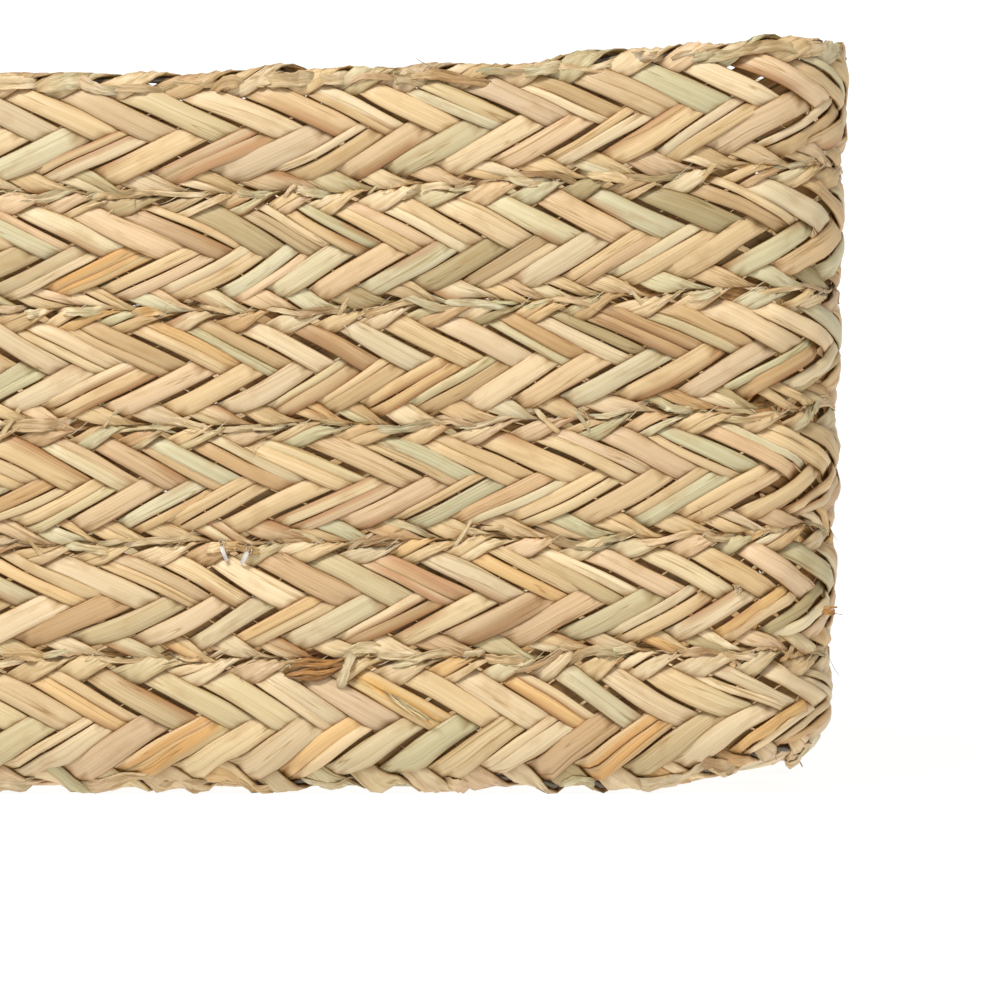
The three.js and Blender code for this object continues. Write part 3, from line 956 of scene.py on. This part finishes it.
def whipped(place, edge, begin, length):
    """Rings of points of a thread that winds round a seam as it runs along a band's edge."""
    turns = round(length / STITCH)
    t = np.linspace(0, 1, turns * STEPS_PER_STITCH + 1)
    wind = 2 * math.pi * turns * t
    u = begin + length * t
    v = edge + STITCH_REACH * np.sin(wind)
    out = STITCH_DEPTH * np.cos(wind)
    ring = 2 * math.pi * np.arange(THREAD_SIDES)[:, None] / THREAD_SIDES
    return place(
        u + THREAD_RADIUS * np.cos(ring),
        v + THREAD_RADIUS * np.sin(ring) * np.cos(wind),
        out + THREAD_RADIUS * np.sin(ring) * np.sin(wind),
    )


# Drawn nylon monofilament: smooth, glossy and partly clear, clouded in patches, with the
# straw seen through it painted into its colour. A melted end has turned white and hardly lets
# light through.
def nylon(name, dull, bright, clearness):
    material = bpy.data.materials.new(name)
    material.use_nodes = True
    tree = material.node_tree
    shader = tree.nodes["Principled BSDF"]
    where = add_node(tree, "ShaderNodeTexCoord")
    cloud = add_node(
        tree,
        "ShaderNodeTexNoise",
        [("Vector", where, "Object")],
        inputs={"Scale": 1 / (6 * MM), "Detail": 2.0},
    )
    milky = add_node(
        tree,
        "ShaderNodeMix",
        [("Factor", cloud, "Fac")],
        data_type="RGBA",
        inputs={COLOUR_A: (*linear(dull), 1), COLOUR_B: (*linear(bright), 1)},
    )
    tree.links.new(milky.outputs[COLOUR_RESULT], shader.inputs["Base Color"])
    shader.inputs["Roughness"].default_value = 0.2
    shader.inputs["IOR"].default_value = 1.53
    shader.inputs["Transmission Weight"].default_value = clearness
    return material


# painted light: the thread's colours are tinted straw, for the straw seen through it
NYLON = nylon("drawn_nylon_monofilament", "#d2be94", "#ecdcb8", 0.35)
MELTED = nylon("melted_nylon_end", "#d9cfc2", "#fbfaf6", 0.15)


KNOT_SIZE = 0.42 * MM
KNOT_STANDS = LAYER + 1.1 * MM


def knot_rings(place, u, v):
    """A thread's overhand knot, pulled nearly tight, on the outside of a seam."""
    t = np.linspace(0, 2 * math.pi, 49)
    path = KNOT_SIZE * np.stack(
        [np.sin(t) + 2 * np.sin(2 * t), np.cos(t) - 2 * np.cos(2 * t), -np.sin(3 * t)], axis=-1
    )
    ahead = np.gradient(path, axis=0)
    side = np.cross(ahead, path + KNOT_SIZE * np.array([0.3, 0.2, 2.5]))
    side /= np.linalg.norm(side, axis=1)[:, None]
    over = np.cross(ahead, side)
    over /= np.linalg.norm(over, axis=1)[:, None]
    ring = (2 * math.pi * np.arange(THREAD_SIDES) / THREAD_SIDES)[:, None, None]
    rings = path + 1.3 * THREAD_RADIUS * (np.cos(ring) * side + np.sin(ring) * over)
    return place(u + rings[..., 0], v + rings[..., 1], KNOT_STANDS + rings[..., 2])


# Where the knots are on the second course: along it from the front's middle, and up it.
KNOTS = [(23 * MM, 16 * MM), (32 * MM, 15 * MM), (168 * MM, 1 * MM)]
for number, (x, v) in enumerate(KNOTS, 1):
    rings = knot_rings(wall_place(2), FRONT_MIDDLE + x, v)
    knot = tube(f"lacing_knot_{number}", rings, True)
    knot.data.materials.append(NYLON)
    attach(knot, "root")

# The melted ends, by the first two knots: where each starts, and which way it leans as it falls.
MELTED_ENDS = [(22.5, 15.5, 1), (31.5, 14.6, -1)]
rng = np.random.default_rng(550)
t = np.linspace(0, 1, 9)
blades = []
for x, v, lean in MELTED_ENDS:
    u = FRONT_MIDDLE + (x + 2.2 * lean * t) * MM
    out = LAYER + (0.7 + 1.5 * np.sin(math.pi * t)) * MM
    line = (u, (v - 4.2 * t) * MM, out)
    blades.append(wisp(rng, wall_place(2), line, 0.3, 0.8 * MM, 0.4 * MM))
ends = sew("melted_thread_ends", blades)
ends.data.materials.append(MELTED)
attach(ends, "root")

for course in range(1, COURSES):
    rings = whipped(wall_place(course), COURSE_PITCH / 2, 0.0, PERIMETER)
    lacing = tube(f"wall_lacing_{course}", rings, True)
    lacing.data.materials.append(NYLON)
    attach(lacing, "root")
    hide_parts(f"wall_seam_thread_{course}")

for strip in range(1, BASE_STRIPS):
    low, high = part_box(f"base_seam_thread_{strip}")
    rings = whipped(strip_place(strip), COURSE_PITCH / 2, low.x, high.x - low.x)
    lacing = tube(f"base_lacing_{strip}", rings, False)
    lacing.data.materials.append(NYLON)
    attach(lacing, "root")
    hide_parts(f"base_seam_thread_{strip}")

# ---------------------------------------------------------------------------------------------
# Wire hoops. Annealed steel wire, browned by its oxide, bent to the plan and closed, runs inside
# the top folds of the rim and inside the lowest folds at the foot.
# ---------------------------------------------------------------------------------------------
WIRE_RADIUS = 0.65 * MM
WIRE_IN_FOLD = 2.2 * MM  # the wire lies this far in from the fold line
WIRE_SIDES = 10
WIRE_STEPS = 360


def hoop_rings(place, edge):
    """Rings of points of a wire that runs round the basket along a band's edge."""
    u = np.linspace(0, PERIMETER, WIRE_STEPS + 1)
    ring = 2 * math.pi * np.arange(WIRE_SIDES)[:, None] / WIRE_SIDES
    v = edge + WIRE_RADIUS * np.cos(ring) + 0 * u
    return place(u + 0 * ring, v, WIRE_RADIUS * np.sin(ring) + 0 * u)


# Annealed steel wire: the furnace leaves it soft, with a dull brown-grey oxide in patches.
def annealed_steel():
    material = bpy.data.materials.new("annealed_steel_wire")
    material.use_nodes = True
    tree = material.node_tree
    shader = tree.nodes["Principled BSDF"]
    where = add_node(tree, "ShaderNodeTexCoord")
    tarnish = add_node(
        tree,
        "ShaderNodeTexNoise",
        [("Vector", where, "Object")],
        inputs={"Scale": 1 / (9 * MM), "Detail": 3.0},
    )
    dulled = add_node(
        tree,
        "ShaderNodeMix",
        [("Factor", tarnish, "Fac")],
        data_type="RGBA",
        inputs={COLOUR_A: (*linear("#5d5142"), 1), COLOUR_B: (*linear("#857b6b"), 1)},
    )
    tree.links.new(dulled.outputs[COLOUR_RESULT], shader.inputs["Base Color"])
    shader.inputs["Metallic"].default_value = 1.0
    shader.inputs["Roughness"].default_value = 0.55
    return material


STEEL = annealed_steel()

for name, course, side in (("rim_wire", COURSES, 1), ("base_wire", 1, -1)):
    edge = side * (BAND_HALF_WIDTH - WIRE_IN_FOLD)
    hoop = tube(f"{name}_in_folds", hoop_rings(wall_place(course), edge), True)
    hoop.data.materials.append(STEEL)
    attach(hoop, "root")
    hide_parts(f"{name}_hoop")

# ---------------------------------------------------------------------------------------------
# Studio: the basket stands on a glowing white acrylic table in front of a glowing white screen,
# with a soft light from the upper left of the front, a fill from the right, and a long lens.
# ---------------------------------------------------------------------------------------------
# Opal acrylic, lit from behind: plain white, matt, and it hardly shows a shadow.
def sheet_of_acrylic(name, corners, glow):
    bm = bmesh.new()
    bm.faces.new([bm.verts.new(corner) for corner in corners])
    mesh = bpy.data.meshes.new(name)
    bm.to_mesh(mesh)
    bm.free()
    sheet = bpy.data.objects.new(name, mesh)
    bpy.context.scene.collection.objects.link(sheet)
    acrylic = bpy.data.materials.new(f"{name}_opal_acrylic")
    acrylic.use_nodes = True
    shader = acrylic.node_tree.nodes["Principled BSDF"]
    shader.inputs["Base Color"].default_value = (0.15, 0.15, 0.15, 1)
    shader.inputs["Roughness"].default_value = 0.9
    shader.inputs["Specular IOR Level"].default_value = 0.1
    shader.inputs["Emission Color"].default_value = (1, 1, 1, 1)
    shader.inputs["Emission Strength"].default_value = glow
    mesh.materials.append(acrylic)


FAR = 2.5
front_edge, back_edge = [(-FAR, -FAR, 0), (FAR, -FAR, 0)], [(FAR, FAR, 0), (-FAR, FAR, 0)]
sheet_of_acrylic("table", [*front_edge, *back_edge], 0.92)
sheet_of_acrylic("screen", [*reversed(back_edge), (FAR, FAR, FAR), (-FAR, FAR, FAR)], 1.0)

world = bpy.data.worlds.new("studio")
world.use_nodes = True
world.node_tree.nodes["Background"].inputs["Color"].default_value = (1, 1, 1, 1)
world.node_tree.nodes["Background"].inputs["Strength"].default_value = 0.27
bpy.context.scene.world = world
bpy.context.scene.view_settings.view_transform = "Standard"


def softbox(name, place, aim, size, power):
    light = bpy.data.lights.new(name, type="AREA")
    light.shape = "SQUARE"
    light.size = size
    light.energy = power
    lamp = bpy.data.objects.new(name, light)
    lamp.location = place
    lamp.rotation_euler = (Vector(aim) - Vector(place)).to_track_quat("-Z", "Y").to_euler()
    bpy.context.scene.collection.objects.link(lamp)


CENTRE = (0.0, 0.0, 0.1)
softbox("key_light", (-0.7, -1.25, 1.8), CENTRE, 0.6, 40)
softbox("fill_light", (1.5, -1.0, 0.8), CENTRE, 1.0, 4)

VIEW_WIDTH = 0.2748  # how much of the front the camera takes in
VIEW_DISTANCE = 1.4
VIEW_RISE = math.radians(2.5)  # it looks down by this much
SENSOR = 36
aim = Vector((0.103, cad_low.y, 0.0823))
camera_data = bpy.data.cameras.new("camera")
camera_data.sensor_width = SENSOR
camera_data.lens = SENSOR * VIEW_DISTANCE / VIEW_WIDTH
camera = bpy.data.objects.new("camera", camera_data)
camera.location = aim + VIEW_DISTANCE * Vector((0, -math.cos(VIEW_RISE), math.sin(VIEW_RISE)))
camera.rotation_euler = Euler((math.pi / 2 - VIEW_RISE, 0, 0))
bpy.context.scene.collection.objects.link(camera)
bpy.context.scene.camera = camera
